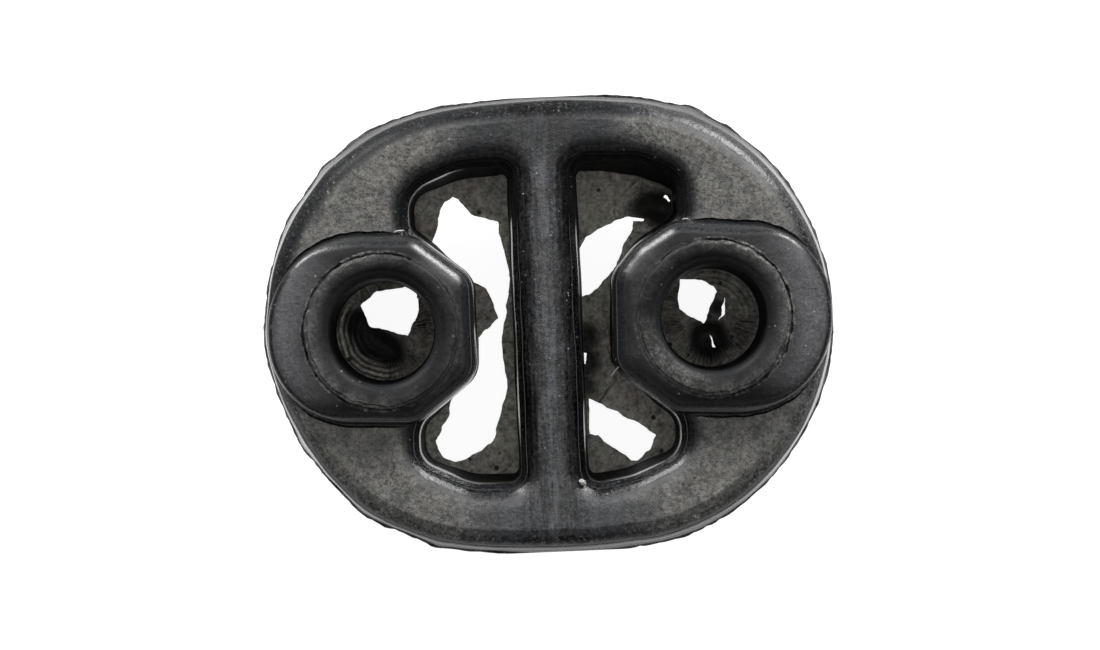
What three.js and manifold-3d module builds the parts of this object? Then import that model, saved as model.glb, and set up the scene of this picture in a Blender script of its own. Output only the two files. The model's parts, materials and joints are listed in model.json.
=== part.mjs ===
// Exhaust hanger, moulded in one piece from black rubber.
// An oval block holds two bores, each in a raised boss with a rounded collar round its mouth.
// A rounded web crosses the middle, with a C-shaped pocket between it and each boss.
// A film of moulding flash closes the pockets and the bores at the parting plane, and is torn.
//
// Lengths are millimetres. X runs through both bores, Y across them, and Z along them.
// The origin is the middle of the web on the parting plane. The back is the mirror of the front.

import * as THREE from 'three';
import { mergeVertices, toCreasedNormals } from 'three/addons/utils/BufferGeometryUtils.js';
import Module from 'manifold-3d';

const wasm = await Module();
wasm.setup();

// Driving dimensions along X, from the web outwards
const webWidth = 7;
const neckWidth = 4.15;
const bossInnerWall = 2.05;
const collarShoulder = 0.3;
const collarCrestWidth = 0.5;
const mouthRound = 1.8;
const mouthRadius = 5.9;
const endWall = 13.55;
const lobeToBore = 3.5;
const shoulderRun = 5.1;

// Driving dimensions along Y, from the boss outwards
const bossInnerFlat = 9.2;
const bossDiagonalDegrees = 41;
const bossSideWall = 1.9;
const lobeSide = 4;
const shoulderDrop = 2.3;
const crownDrop = 0.3;
const rimBand = 8;

// Driving dimensions of the block
const bodySideCrown = 0.4;
const bodyThickness = 28;
const bodyDraft = 0.7;
const bodyEdgeRadius = 2;
const partingFlashReach = 0.25;
const partingFlashThickness = 0.5;

// Driving dimensions of the bosses
const bossHeight = 3;
const bossEndFlat = 0.8;
const bossInnerCornerRadius = 2;
const bossTopCornerRadius = 2.5;
const bossSetback = 0.3;
const bossDraft = 0.15;
const bossEdgeRadius = 2;

// Driving dimensions of the collars and the bores
const collarHeight = 1;
const collarStep = 0.35;
const mouthDepth = 2.2;
const boreDraft = 0.55;

// Driving dimensions of the pockets
const webFootRadius = 1.6;
const crownRadius = 8;
const shoulderRadius = 2.2;
const lobeHeelRadius = 1;
const pocketRimRadius = 2.2;
const pocketDraft = 0.6;
const lipReach = 0.4;
const lipSlope = 0.12;

// Driving dimensions of the torn film
const filmThickness = 0.8;
const filmRoot = 0.6;

// Torn holes in the pocket films, from the middle of the web, and in the bore films, from each bore
const leftPocketTears = [
  [
    [-10.0, 14.7], [-8.8, 13.3], [-8.2, 12.7], [-5.0, 11.7], [-5.0, 10.4], [-4.2, 7.6], [-3.8, 5.4],
    [-4.2, 3.6], [-5.1, -0.4], [-5.3, -1.6], [-4.9, -6.9], [-6.0, -10.6], [-6.9, -13.1],
    [-8.7, -14.1], [-11.0, -15.0], [-12.4, -14.4], [-13.1, -12.5], [-11.7, -10.4], [-11.4, -8.0],
    [-8.4, -4.2], [-8.0, -1.4], [-7.0, -0.3], [-5.6, 1.0], [-6.2, 3.2], [-6.6, 4.4], [-8.6, 5.4],
    [-12.6, 9.1], [-11.7, 11.8], [-11.4, 13.7],
  ],
];
const rightPocketTears = [
  [
    [3.8, 8.2], [3.8, 3.1], [5.8, 3.8], [6.9, 5.0], [8.6, 6.4], [9.6, 8.3], [10.1, 11.1], [11.3, 11.5],
    [9.0, 11.8], [6.3, 10.7], [4.6, 9.6],
  ],
  [
    [4.4, -8.6], [4.2, -12.4], [5.2, -12.6], [6.6, -13.8], [8.8, -15.6], [9.6, -15.6], [10.6, -14.4],
    [11.5, -12.9], [9.6, -11.2], [6.2, -9.4],
  ],
];
const leftBoreTears = [
  [
    [2.6, 5.0], [-0.9, 4.5], [-2.7, 3.0], [-2.2, 1.7], [-1.9, 0.6], [0.3, 0.1], [2.4, -0.6],
    [3.1, 0.6], [3.8, 2.2], [3.7, 4.0],
  ],
];
const rightBoreTears = [
  [
    [-3.2, 4.5], [-3.5, 1.1], [-2.1, 0.1], [-0.6, -0.7], [-0.1, 0.8], [0.9, 2.9], [0.5, 3.5],
    [-0.7, 4.2],
  ],
  [[1.6, 2.3], [1.1, -0.2], [1.7, 0.5], [1.9, 1.3]],
  [[-0.1, -1.9], [0.2, -3.4], [0.5, -3.4], [0.2, -2.5]],
];

// Facets
const endSegments = 22;
const crownSegments = 3;
const slightCornerSegments = 2;
const cornerSegments = 4;
const wideCornerSegments = 7;
const filletSegments = 4;
const boreSegments = 40;
const sharpestFillet = 0.05;

// What follows from the driving dimensions
const crestInnerRadius = mouthRadius + mouthRound;
const crestOuterRadius = crestInnerRadius + collarCrestWidth;
const collarRadius = crestOuterRadius + collarShoulder;
const boreRadius = mouthRadius - boreDraft;
const bossFlatX = webWidth / 2 + neckWidth;
const boreX = bossFlatX + bossInnerWall + collarRadius;
const faceZ = bodyThickness / 2;
const bossZ = faceZ + bossHeight;
const crestZ = bossZ + collarHeight;
const lipZ = faceZ - pocketRimRadius;
const bossHalfFlat = bossInnerFlat / 2;
const bossHalfWidth = collarRadius + bossSideWall;
const bossOuterCornerRadius = bossHalfWidth - bossEndFlat / 2;
const bossOuterX = boreX + endWall - bodyDraft - bossSetback;
const bossSlope = Math.tan(THREE.MathUtils.degToRad(bossDiagonalDegrees));
const lobeX = boreX - lobeToBore;
const heelY = bossHalfFlat + (lobeX - bossFlatX) * bossSlope;
const shoulderY = heelY + lobeSide;
const crownY = shoulderY + shoulderDrop;
const pocketEndY = crownY + crownDrop;
const bodyHalfWidth = pocketEndY + rimBand;
const bodyEndRadius = bodyHalfWidth - bodySideCrown;
const endCentreX = boreX + endWall - bodyEndRadius;

/** Solid for cutting and joining, from a closed geometry. */
function toSolid(geometry) {
  geometry.deleteAttribute('normal');
  geometry.deleteAttribute('uv');
  const merged = mergeVertices(geometry, 1e-4);
  const triVerts = [];
  for (let i = 0; i < merged.index.count; i += 3) {
    const [a, b, c] = [0, 1, 2].map((corner) => merged.index.getX(i + corner));
    if (a !== b && b !== c && c !== a) triVerts.push(a, b, c);
  }
  return new wasm.Manifold(new wasm.Mesh({
    numProp: 3,
    vertProperties: new Float32Array(merged.getAttribute('position').array),
    triVerts: new Uint32Array(triVerts),
  }));
}

/** Geometry of a finished solid, smooth across round stretches and sharp at edges. */
function toGeometry(solid) {
  const mesh = solid.getMesh();
  const geometry = new THREE.BufferGeometry();
  geometry.setAttribute('position', new THREE.BufferAttribute(mesh.vertProperties, 3));
  geometry.setIndex(new THREE.BufferAttribute(mesh.triVerts, 1));
  return toCreasedNormals(geometry, Math.PI / 6);
}

/** Points of an arc, both ends included. It is round unless a second radius is given. */
function arc([centreX, centreY], fromAngle, toAngle, segments, radius, secondRadius = radius) {
  const points = [];
  for (let i = 0; i <= segments; i += 1) {
    const angle = fromAngle + ((toAngle - fromAngle) * i) / segments;
    points.push([centreX + radius * Math.cos(angle), centreY + secondRadius * Math.sin(angle)]);
  }
  return points;
}

/** Outline through corners [x, y, fillet radius, segments], with every side moved out by the offset. */
function filletedLoop(corners, offset) {
  return corners.flatMap(([x, y, radius, segments], i) => {
    const [lastX, lastY] = corners.at(i - 1);
    const [nextX, nextY] = corners[(i + 1) % corners.length];
    const normalIn = Math.atan2(y - lastY, x - lastX) - Math.PI / 2;
    const normalOut = Math.atan2(nextY - y, nextX - x) - Math.PI / 2;
    const turn = Math.atan2(Math.sin(normalOut - normalIn), Math.cos(normalOut - normalIn));
    const side = Math.sign(turn);
    const grown = Math.max(radius + side * offset, sharpestFillet);
    const middle = normalIn + turn / 2;
    const shift = (offset - side * grown) / Math.cos(turn / 2);
    const centre = [x + shift * Math.cos(middle), y + shift * Math.sin(middle)];
    return arc(centre, normalIn, normalIn + turn, segments, side * grown);
  });
}

/** Outline made to face the side it stands on, where side is 1 for +X and -1 for -X. */
function onSide(side, points) {
  return side > 0 ? points : points.map(([x, y]) => [-x, y]).reverse();
}

/** Closed solid through the outline at every level [offset, z], from the lowest to the highest. */
function loft(outlineAt, levels) {
  const rings = levels.map(([offset, z]) => outlineAt(offset).map(([x, y]) => [x, y, z]));
  const count = rings[0].length;
  const last = (levels.length - 1) * count;
  const index = [];
  for (let start = 0; start < last; start += count) {
    for (let i = 0; i < count; i += 1) {
      const here = start + i;
      const next = start + ((i + 1) % count);
      index.push(here, next, next + count, here, next + count, here + count);
    }
  }
  const capOf = (ring) => THREE.ShapeUtils.triangulateShape(
    ring.map(([x, y]) => new THREE.Vector2(x, y)),
    [],
  );
  capOf(rings[0]).forEach(([a, b, c]) => index.push(a, c, b));
  capOf(rings.at(-1)).forEach(([a, b, c]) => index.push(last + a, last + b, last + c));
  const geometry = new THREE.BufferGeometry();
  geometry.setAttribute('position', new THREE.Float32BufferAttribute(rings.flat(2), 3));
  geometry.setIndex(index);
  return toSolid(geometry);
}

/** Solid turned about a bore's axis from a profile [radius, z] that rises from the axis to the axis. */
function turned(profile, x) {
  const points = profile.map(([radius, z]) => new THREE.Vector2(radius, z));
  const geometry = new THREE.LatheGeometry(points, boreSegments);
  geometry.rotateX(Math.PI / 2);
  geometry.translate(x, 0, 0);
  return toSolid(geometry);
}

/** Straight prism between two heights. */
function prism(points, low, high) {
  const shape = new THREE.Shape(points.map(([x, y]) => new THREE.Vector2(x, y)));
  const geometry = new THREE.ExtrudeGeometry(shape, { depth: high - low, bevelEnabled: false });
  geometry.translate(0, 0, low);
  return toSolid(geometry);
}

/** Levels or profile of the whole height from those of the upper half, which start near the middle. */
function mirrored(upper) {
  const lower = upper.map(([offset, z]) => [offset, -z]).reverse();
  return [...lower, ...upper];
}

/** Levels round an outer edge, from the wall up to a flat top. */
function edgeLevels(wallOffset, radius, topZ) {
  return arc([wallOffset - radius, topZ - radius], 0, Math.PI / 2, filletSegments, radius);
}

/** Oval outline: two end arcs joined by slightly crowned sides, all tangent to each other. */
function bodyOutline(offset) {
  const crown = bodySideCrown;
  const sideRadius = (endCentreX ** 2 + crown ** 2 + 2 * bodyEndRadius * crown) / (2 * crown);
  const sideCentreY = sideRadius - bodyHalfWidth;
  const joint = Math.atan2(sideCentreY, endCentreX);
  const end = arc([endCentreX, 0], -joint, joint, endSegments, bodyEndRadius + offset);
  const side = arc([0, -sideCentreY], joint, Math.PI - joint, crownSegments, sideRadius + offset);
  const half = [...end, ...side.slice(1, -1)];
  return [...half, ...half.map(([x, y]) => [-x, -y])];
}

/** Boss outline at +X: half an octagon towards the web, rounder towards the end of the block. */
function bossOutline(offset) {
  const topX = bossFlatX + (bossHalfWidth - bossHalfFlat) / bossSlope;
  const upper = [
    [bossOuterX, bossHalfWidth, bossOuterCornerRadius, wideCornerSegments],
    [topX, bossHalfWidth, bossTopCornerRadius, cornerSegments],
    [bossFlatX, bossHalfFlat, bossInnerCornerRadius, cornerSegments],
  ];
  const lower = upper.map(([x, y, radius, segments]) => [x, -y, radius, segments]).reverse();
  return filletedLoop([...upper, ...lower], offset);
}

/** Pocket outline at +X: two lobes above and below the boss, joined by a neck beside the web. */
function pocketOutline(offset) {
  const lower = [
    [webWidth / 2, -pocketEndY, webFootRadius, cornerSegments],
    [lobeX - shoulderRun, -crownY, crownRadius, slightCornerSegments],
    [lobeX, -shoulderY, shoulderRadius, cornerSegments],
    [lobeX, -heelY, lobeHeelRadius, slightCornerSegments],
    [bossFlatX, -bossHalfFlat, bossInnerCornerRadius, cornerSegments],
  ];
  const upper = lower.map(([x, y, radius, segments]) => [x, -y, radius, segments]).reverse();
  return filletedLoop([...lower, ...upper], offset);
}

/** Oval block with drafted walls, rounded edges and a bead of flash on the parting plane. */
function block() {
  const halfFlash = partingFlashThickness / 2;
  return loft(bodyOutline, mirrored([
    [partingFlashReach, halfFlash],
    [0, halfFlash + partingFlashReach],
    ...edgeLevels(-bodyDraft, bodyEdgeRadius, faceZ),
  ]));
}

/** Pocket through the block: rounded rim, a narrow ledge below it and a wall that leans in to the film. */
function pocket(side) {
  const outline = (offset) => onSide(side, pocketOutline(offset));
  return loft(outline, mirrored([
    [-pocketDraft, filmThickness / 4],
    [-lipReach, lipZ - lipSlope],
    ...arc([pocketRimRadius, lipZ], Math.PI, Math.PI / 2, filletSegments, pocketRimRadius),
    [pocketRimRadius, faceZ + bossHeight],
  ]));
}

/** Boss that stands proud of both faces, rounded at its top edges. */
function boss(side) {
  const outline = (offset) => onSide(side, bossOutline(offset));
  return loft(outline, mirrored([
    [0, faceZ],
    ...edgeLevels(-bossDraft, bossEdgeRadius, bossZ),
  ]));
}

/** Collar round both mouths of a bore, with a narrow flat crest that the part can lie on. */
function collar(side) {
  const rise = collarHeight - collarStep;
  const centre = [crestOuterRadius, crestZ - rise];
  const shoulder = arc(centre, 0, Math.PI / 2, filletSegments, collarShoulder, rise);
  return turned([[0, -crestZ], ...mirrored(shoulder), [0, crestZ]], side * boreX);
}

/** Bore through a boss: its mouths are rounded and its wall leans in to the film. */
function bore(side) {
  const centre = [crestInnerRadius, crestZ - mouthDepth];
  const mouth = arc(centre, Math.PI, Math.PI / 2, filletSegments, mouthRound, mouthDepth);
  const beyond = crestZ + collarHeight;
  const upper = [[boreRadius, filmThickness / 4], ...mouth, [crestInnerRadius, beyond]];
  return turned([[0, -beyond], ...mirrored(upper), [0, beyond]], side * boreX);
}

/** Film across the parting plane, rooted in the wall round it and torn through. */
function tornFilm(outline, tears) {
  const half = filmThickness / 2;
  return tears.reduce(
    (film, tear) => film.subtract(prism(tear, -filmThickness, filmThickness)),
    prism(outline, -half, half),
  );
}

/** The whole moulding: pockets, then bosses and collars, then bores, then what is left of the films. */
function hanger() {
  const sides = [
    { side: -1, pocketTears: leftPocketTears, boreTears: leftBoreTears },
    { side: 1, pocketTears: rightPocketTears, boreTears: rightBoreTears },
  ];
  let solid = block();
  sides.forEach(({ side }) => {
    solid = solid.subtract(pocket(side)).add(boss(side)).add(collar(side)).subtract(bore(side));
  });
  sides.forEach(({ side, pocketTears, boreTears }) => {
    const pocketFilm = onSide(side, pocketOutline(filmRoot - pocketDraft));
    const boreFilm = arc([side * boreX, 0], 0, 2 * Math.PI, boreSegments, boreRadius + filmRoot).slice(1);
    const placed = boreTears.map((tear) => tear.map(([x, y]) => [side * boreX + x, y]));
    solid = solid.add(tornFilm(pocketFilm, pocketTears)).add(tornFilm(boreFilm, placed));
  });
  return solid;
}

const rubber = new THREE.MeshStandardMaterial({ color: '#37383a', roughness: 0.62, metalness: 0 });
const hangerBody = new THREE.Mesh(toGeometry(hanger()), rubber);
hangerBody.name = 'hanger_body';

const part = new THREE.Group();
part.add(hangerBody);

export default part;
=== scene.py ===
"""Exhaust hanger moulded in black rubber, with torn moulding film in its pockets and bores."""

import json
import math

import bmesh
import bpy
from bpy.props import FloatProperty, FloatVectorProperty, PointerProperty
from mathutils import Matrix, Vector, noise


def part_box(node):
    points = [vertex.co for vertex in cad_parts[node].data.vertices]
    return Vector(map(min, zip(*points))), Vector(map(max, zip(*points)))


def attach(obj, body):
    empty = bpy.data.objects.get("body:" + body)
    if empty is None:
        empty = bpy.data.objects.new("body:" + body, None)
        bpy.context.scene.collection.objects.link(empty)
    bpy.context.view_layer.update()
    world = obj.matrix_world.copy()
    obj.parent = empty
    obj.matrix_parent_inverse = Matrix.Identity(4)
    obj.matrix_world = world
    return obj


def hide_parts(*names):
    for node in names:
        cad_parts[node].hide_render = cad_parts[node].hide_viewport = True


bl_info = {
    "name": "Exhaust Hanger",
    "version": (1, 0, 0),
    "blender": (4, 5, 0),
    "location": "View3D > Sidebar > Hanger",
    "description": "Models a moulded rubber exhaust hanger with torn film in its pockets and bores",
    "category": "Add Mesh",
}

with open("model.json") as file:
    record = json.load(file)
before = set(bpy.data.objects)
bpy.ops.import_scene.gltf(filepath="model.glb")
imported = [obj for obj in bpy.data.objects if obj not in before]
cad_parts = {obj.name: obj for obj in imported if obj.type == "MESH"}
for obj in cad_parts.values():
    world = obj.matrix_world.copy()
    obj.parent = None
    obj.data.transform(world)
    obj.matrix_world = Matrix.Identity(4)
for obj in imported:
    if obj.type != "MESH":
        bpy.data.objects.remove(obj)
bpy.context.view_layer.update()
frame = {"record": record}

MM = 0.001
TINY = 1e-6
NODE = "hanger_body"
MOULDING = "moulded_hanger"
SIDES = (-1, 1)

low_corner, high_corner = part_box(NODE)
HALF_LENGTH = high_corner.x
HALF_WIDTH = high_corner.y
CREST_HEIGHT = high_corner.z
openings = {opening["name"]: opening["box_m"] for opening in frame["record"]["physics"]["openings"]}
bore_low, bore_high = openings["right_bore_front"]
BORE_X = (bore_low[0] + bore_high[0]) / 2

# Outlines in millimetres, as corners (x, y, radius), anticlockwise where x points away from the web
POCKETS = {
    -1: (
        (3.5, -17.45, 1.6), (9.2, -17.25, 6.0), (14.68, -14.51, 2.8), (14.72, -10.45, 3.0),
        (8.15, -5.3, 2.3), (8.1, 5.5, 2.3), (14.9, 11.05, 1.7), (14.95, 15.3, 3.4), (9.2, 17.6, 10.0),
        (3.5, 17.8, 1.45),
    ),
    1: (
        (3.5, -17.9, 1.6), (8.6, -17.2, 7.0), (14.3, -14.75, 3.0), (14.3, -10.9, 2.9), (7.1, -5.1, 2.3),
        (7.35, 5.2, 2.3), (10.0, 8.35, 5.0), (15.05, 11.2, 1.5), (15.0, 15.85, 2.4), (10.8, 17.75, 6.0),
        (3.5, 17.95, 1.6),
    ),
}
BOSSES = {
    -1: (
        (30.85, 11.3, 10.5), (14.2, 10.48, 2.5), (8.1, 5.5, 2.3), (8.15, -5.3, 2.3), (14.8, -10.42, 2.5),
        (30.85, -9.6, 9.5),
    ),
    1: (
        (31.35, 9.4, 9.4), (14.3, 10.91, 3.0), (10.0, 8.35, 5.0), (7.35, 5.2, 2.3), (7.1, -5.1, 2.3),
        (13.5, -10.42, 2.5), (31.35, -11.3, 10.6),
    ),
}

# Torn holes in millimetres, from the middle of the web in the pockets and from the axis in each bore
POCKET_TEARS = {
    -1: (
        (
            (-10.0, 14.75), (-9.35, 14.45), (-8.7, 13.45), (-8.2, 12.8), (-5.0, 11.7), (-5.0, 10.4),
            (-4.3, 7.6), (-4.0, 5.4), (-4.3, 3.6), (-5.1, -0.4), (-5.3, -1.6), (-4.9, -6.9),
            (-6.0, -10.6), (-6.9, -13.1), (-8.7, -14.1), (-11.0, -15.0), (-12.4, -14.4), (-13.1, -12.5),
            (-12.3, -11.2), (-11.5, -9.9), (-11.2, -8.0), (-8.4, -4.2), (-8.0, -1.4), (-7.0, -0.3),
            (-5.6, 1.0), (-6.2, 3.2), (-6.6, 4.4), (-8.6, 5.4), (-12.6, 9.1), (-11.85, 11.8),
            (-11.55, 13.6),
        ),
    ),
    1: (
        (
            (3.7, 8.2), (3.65, 3.0), (4.6, 3.1), (5.7, 3.8), (6.9, 5.2), (8.0, 6.4), (8.8, 8.4),
            (9.9, 10.3), (10.0, 11.1), (11.3, 11.15), (11.3, 11.4), (9.3, 11.65), (8.2, 11.4),
            (6.3, 10.5), (4.6, 9.5),
        ),
        (
            (4.3, -8.4), (4.1, -12.4), (5.1, -12.6), (6.5, -13.9), (8.8, -15.7), (9.6, -15.7),
            (10.7, -14.5), (11.6, -12.9), (9.7, -11.4), (6.3, -9.6),
        ),
        ((3.75, -3.4), (3.85, -4.5), (4.15, -4.6), (4.1, -3.4)),
        ((13.7, 13.95), (13.6, 13.75), (14.2, 13.25), (14.35, 13.4)),
    ),
}
BORE_TEARS = {
    -1: (
        (
            (2.6, 5.0), (-0.9, 4.5), (-2.7, 3.0), (-2.2, 1.7), (-1.9, 0.6), (0.3, 0.1), (2.4, -0.6),
            (3.1, 0.6), (3.8, 2.2), (3.7, 4.0),
        ),
    ),
    1: (
        (
            (-3.2, 4.5), (-3.5, 1.1), (-2.1, 0.1), (-0.6, -0.7), (-0.1, 0.8), (0.9, 2.9), (0.5, 3.5),
            (-0.7, 4.2),
        ),
        ((1.68, 2.25), (1.58, 1.2), (1.35, 0.4), (1.0, -0.3), (1.7, 0.3), (1.9, 1.2)),
        ((-0.1, -1.9), (0.2, -3.4), (0.5, -3.4), (0.2, -2.5)),
    ),
}

# Where the oval's wall stands out or falls in: direction and spread in degrees, reach in millimetres,
# and the share of that reach which is left at the rim
SWELLINGS = (
    (45.0, 18.0, 0.35, 0.2), (54.0, 2.6, 0.35, 0.0), (133.0, 14.0, 0.5, 0.1), (143.0, 3.0, 0.35, 0.0),
    (204.0, 12.0, -0.62, 0.9), (305.0, 15.0, 0.25, 0.5), (241.0, 2.0, 0.2, 0.0), (223.0, 3.0, 0.15, 0.0),
    (60.0, 60.0, 0.22, 0.3), (282.0, 30.0, 0.25, 0.3), (190.0, 7.0, -0.3, 0.6), (174.0, 5.0, -0.25, 0.5),
    (216.0, 4.0, -0.2, 0.0), (233.0, 4.0, -0.2, 0.0), (155.0, 6.0, 0.25, 0.0), (204.0, 3.0, 0.3, 0.0),
)

# Where the film sags below the parting plane: place, radius and depth in millimetres
POCKET_SAGS = {
    -1: ((-13.0, 9.5, 2.0, 0.5), (-9.5, -9.0, 2.5, 0.5), (-4.6, -3.0, 1.6, 0.7)),
    1: (
        (12.3, 12.8, 3.7, 2.6), (14.4, 12.1, 3.6, 3.4), (10.4, 12.3, 2.8, 1.4), (4.2, -1.6, 3.0, 2.2),
        (4.2, -4.4, 3.0, 2.2), (3.9, -7.0, 2.7, 2.0), (5.9, -6.0, 2.0, 0.8), (4.9, 0.9, 2.6, 0.7),
    ),
}
BORE_SAGS = {
    -1: ((-2.9, 1.0, 3.1, 3.0), (-1.6, -1.1, 3.5, 3.0), (0.3, -2.3, 3.1, 2.8), (1.2, 1.2, 2.5, 0.8)),
    1: ((-0.2, -2.4, 4.1, 3.0), (0.95, 1.1, 1.8, 2.0), (-1.4, 1.6, 2.0, 0.6)),
}

# Directions in degrees in which arcs run round each bore's film, the spacing of those arcs, and the
# number of ribs once round the film
BORE_ARCS = {-1: 205.0, 1: 60.0}
ARC_SPACING = 0.62
RIBS = 66

# Stray ends of flash in millimetres: threads from foot to tip, with the radius at each end, and nibs as
# place, half length, half width and turn in degrees, with their half height
THREADS = (((6.8, -5.9, 12.9), (8.3, -4.15, 15.9)), ((7.35, -4.2, 14.6), (7.6, -3.3, 15.2)))
THREAD_RADII = (0.09 * MM, 0.05 * MM)
# The nibs are painted pale, as painted highlights on small lumps of flash
NIBS = (
    ((3.1, -17.5, 13.6), 0.52, 0.36, -40.0), ((-15.9, 10.95, 14.0), 0.7, 0.16, 5.0),
    ((15.6, 10.95, 14.0), 0.45, 0.13, 0.0), ((-2.1, 14.45, 13.9), 0.13, 0.12, 20.0),
)
NIB_HEIGHT = 0.45

# Spacing of the profiles along an outline, and of those round the oval
STRIDE = 0.45 * MM
OVAL_STRIDE = 0.55 * MM

# Steps in a wide rounding, round a collar and round a bore
ROUNDING_STEPS = 14
COLLAR_STEPS = 160
BORE_STEPS = 120

# Least radius in millimetres of the corners that a wide rounding runs round, and how far from the bores'
# line a pocket has such corners
EASED_RADIUS = 3.3
EASED_REACH = 9.0

# Half height of the flash at its torn edge, at the wall, and of the band that is ragged
FLASH_EDGE = 0.12 * MM
FLASH_ROOT = 0.34 * MM
FLASH_BAND = 0.2 * MM

# Height of the steep edge between the rounding and the lip of a pocket
STEEP_HEIGHT = 0.5 * MM

# Middle of the pocket corner at the upper right where the wall leans further in, in millimetres
FILLED_CORNER = (13.0, 16.5)

# Rectangle round the right pocket in millimetres, and the cell of the grid that its film is made of
POCKET_SPAN = ((3.0, -19.0), (16.0, 19.0))
FILM_CELL = 0.3 * MM

# Height over the parting plane that the tools for the film reach
FILM_TOOL_HEIGHT = 5.0 * MM

# Least angle of a crisp edge, and greatest angle that is flattened away, in degrees
CRISP_ANGLE = 24.0
FLAT_ANGLE = 0.3

# Refraction of rubber, and the roughness and reflection of its dull places
RUBBER_IOR = 1.5
DULL_ROUGHNESS = 0.85
DULL_SPECULAR = 0.1

# Softboxes: place and size in metres, and spread of the light in degrees
SOFTBOXES = {
    "overhead": ((0.08, 0.1, 1.3), (2.2, 2.2), 100.0),
    "right": ((0.50, 0.66, 0.33), (0.34, 0.30), 180.0),
    "left": ((-0.46, 0.70, 0.33), (0.34, 0.30), 180.0),
}


def length(name, description, millimetres):
    """Property for a size."""
    return FloatProperty(
        name=name, description=description, default=millimetres * MM, precision=5, unit="LENGTH"
    )


def colour(name, description, default):
    """Property for a colour."""
    return FloatVectorProperty(
        name=name, description=description, default=default, size=3, min=0.0, max=1.0, subtype="COLOR"
    )


def share(name, description, default):
    """Property for a share from 0 to 1."""
    return FloatProperty(
        name=name, description=description, default=default, min=0.0, max=1.0, subtype="FACTOR"
    )


def amount(name, description, default):
    """Property for a plain number."""
    return FloatProperty(name=name, description=description, default=default)


def power(name, description, watts):
    """Property for a lamp's power."""
    return FloatProperty(name=name, description=description, default=watts, unit="POWER")


class HangerSizes(bpy.types.PropertyGroup):
    """Sizes of the moulding, for both halves of the mould."""

    face_height: length("Face height", "From the parting plane to each face", 14.0)
    body_draft: length("Body draft", "Lean of the outer wall up to the face", 0.45)
    body_edge: length("Body edge", "Radius of the arc that leads up to the edge of each face", 2.9)
    shoulder_lean: length("Shoulder lean", "Lean of the wall just below that arc", 0.2)
    shoulder_height: length("Shoulder height", "Height of the wall just below that arc", 2.2)
    edge_rise: amount("Edge rise", "Height of that arc as a share of its radius", 0.75)
    edge_turn: FloatProperty(
        name="Edge turn", description="Turn of that arc, which leaves a faint edge round the face",
        default=math.radians(78.0), subtype="ANGLE",
    )
    side_crown: length("Side crown", "Crown of the long sides", 0.4)
    flash_reach: length("Flash reach", "Reach of the flash round the parting plane", 0.25)
    flash_rag: length("Flash rag", "Unevenness of the torn flash edge", 0.16)
    rim_width: length("Rim width", "Width of the rounding between face and pocket", 2.9)
    rim_rise: length("Rim rise", "Height of the rounding between face and pocket", 1.7)
    rim_steep: length("Rim steep", "Width of the steep edge below the rounding", 0.45)
    lip_width: length("Lip width", "Lean of the smooth lip below the steep edge", 0.14)
    lip_height: length("Lip height", "Height of the smooth lip below the steep edge", 1.6)
    pocket_draft: length("Pocket draft", "Lean of the pocket wall in to the film", 0.95)
    corner_fill: length("Corner fill", "Further lean of the wall at the upper right corner", 0.55)
    boss_height: length("Boss height", "Height of each boss over the face", 3.0)
    boss_edge: length("Boss edge", "Width of the rounding at the top of each boss", 3.0)
    boss_rise: length("Boss rise", "Height of the rounding at the top of each boss", 1.9)
    boss_flatter: share("Boss flatter", "How much lower that rounding is at each boss's outer end", 0.5)
    boss_draft: length("Boss draft", "Lean of the boss wall", 0.2)
    foot_width: length("Foot width", "Width of the crease round the foot of each boss", 0.26)
    foot_depth: length("Foot depth", "Depth of the crease round the foot of each boss", 0.4)
    ring_radius: length("Ring radius", "Radius of the line where the collar meets its boss", 8.5)
    groove_width: length("Groove width", "Width of the groove round the outer side of each collar", 0.28)
    groove_depth: length("Groove depth", "Depth of that groove", 0.45)
    collar_step: length("Collar step", "Upright step of the collar at the ring line", 0.35)
    collar_round: length("Collar round", "Rounding at the outside of the collar", 0.45)
    mouth_radius: length("Mouth radius", "Radius of the bore below its mouth", 5.9)
    mouth_round: length("Mouth round", "Width of the rounding of the bore's mouth", 2.1)
    mouth_rise: amount("Mouth rise", "Height of that rounding as a share of its width", 0.55)
    bore_draft: length("Bore draft", "Lean of the bore wall in to the film", 0.45)
    film_thickness: length("Film thickness", "Thickness of the film in pockets and bores", 0.6)
    film_root: length("Film root", "Depth of the film in the wall round it", 0.5)


class HangerFinish(bpy.types.PropertyGroup):
    """Colours and gloss of the rubber."""

    rubber: colour("Rubber", "Clean black rubber", (0.009, 0.0095, 0.0105))
    # The bloom and sheen colours also carry painted shade, less bloom at the top of the face and round
    # its edge, and painted light, more bloom on the lower outer wall
    bloom_and_painted_light: colour("Bloom", "Grey bloom on the four quarters of the face", (0.080, 0.078, 0.071))
    sheen: colour("Sheen", "Bluish bloom on the web and between the pockets", (0.027, 0.0285, 0.032))
    # The collar colour is painted lighter towards each boss's outer end, a painted highlight
    collar: colour("Collar", "Purplish rubber of bosses and collars", (0.0112, 0.0108, 0.0117))
    # The film colour is darkened as painted shade where the film sags and in the bores, and painted
    # light and dark on the arcs in the left bore
    film: colour("Film", "Dull olive of the torn film", (0.235, 0.23, 0.198))
    stain: colour("Stain", "Reddish stains on the film", (0.215, 0.194, 0.178))
    # The dust colour also paints the nibs pale as painted highlights, and painted light on the upper
    # outer wall
    dust_and_painted_highlight: colour("Dust", "Pale dust and flakes", (0.30, 0.30, 0.28))
    gloss: share("Rubbed roughness", "Roughness of rubbed edges", 0.24)
    matt: share("Matt roughness", "Roughness of the bloomed faces", 0.6)


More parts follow.
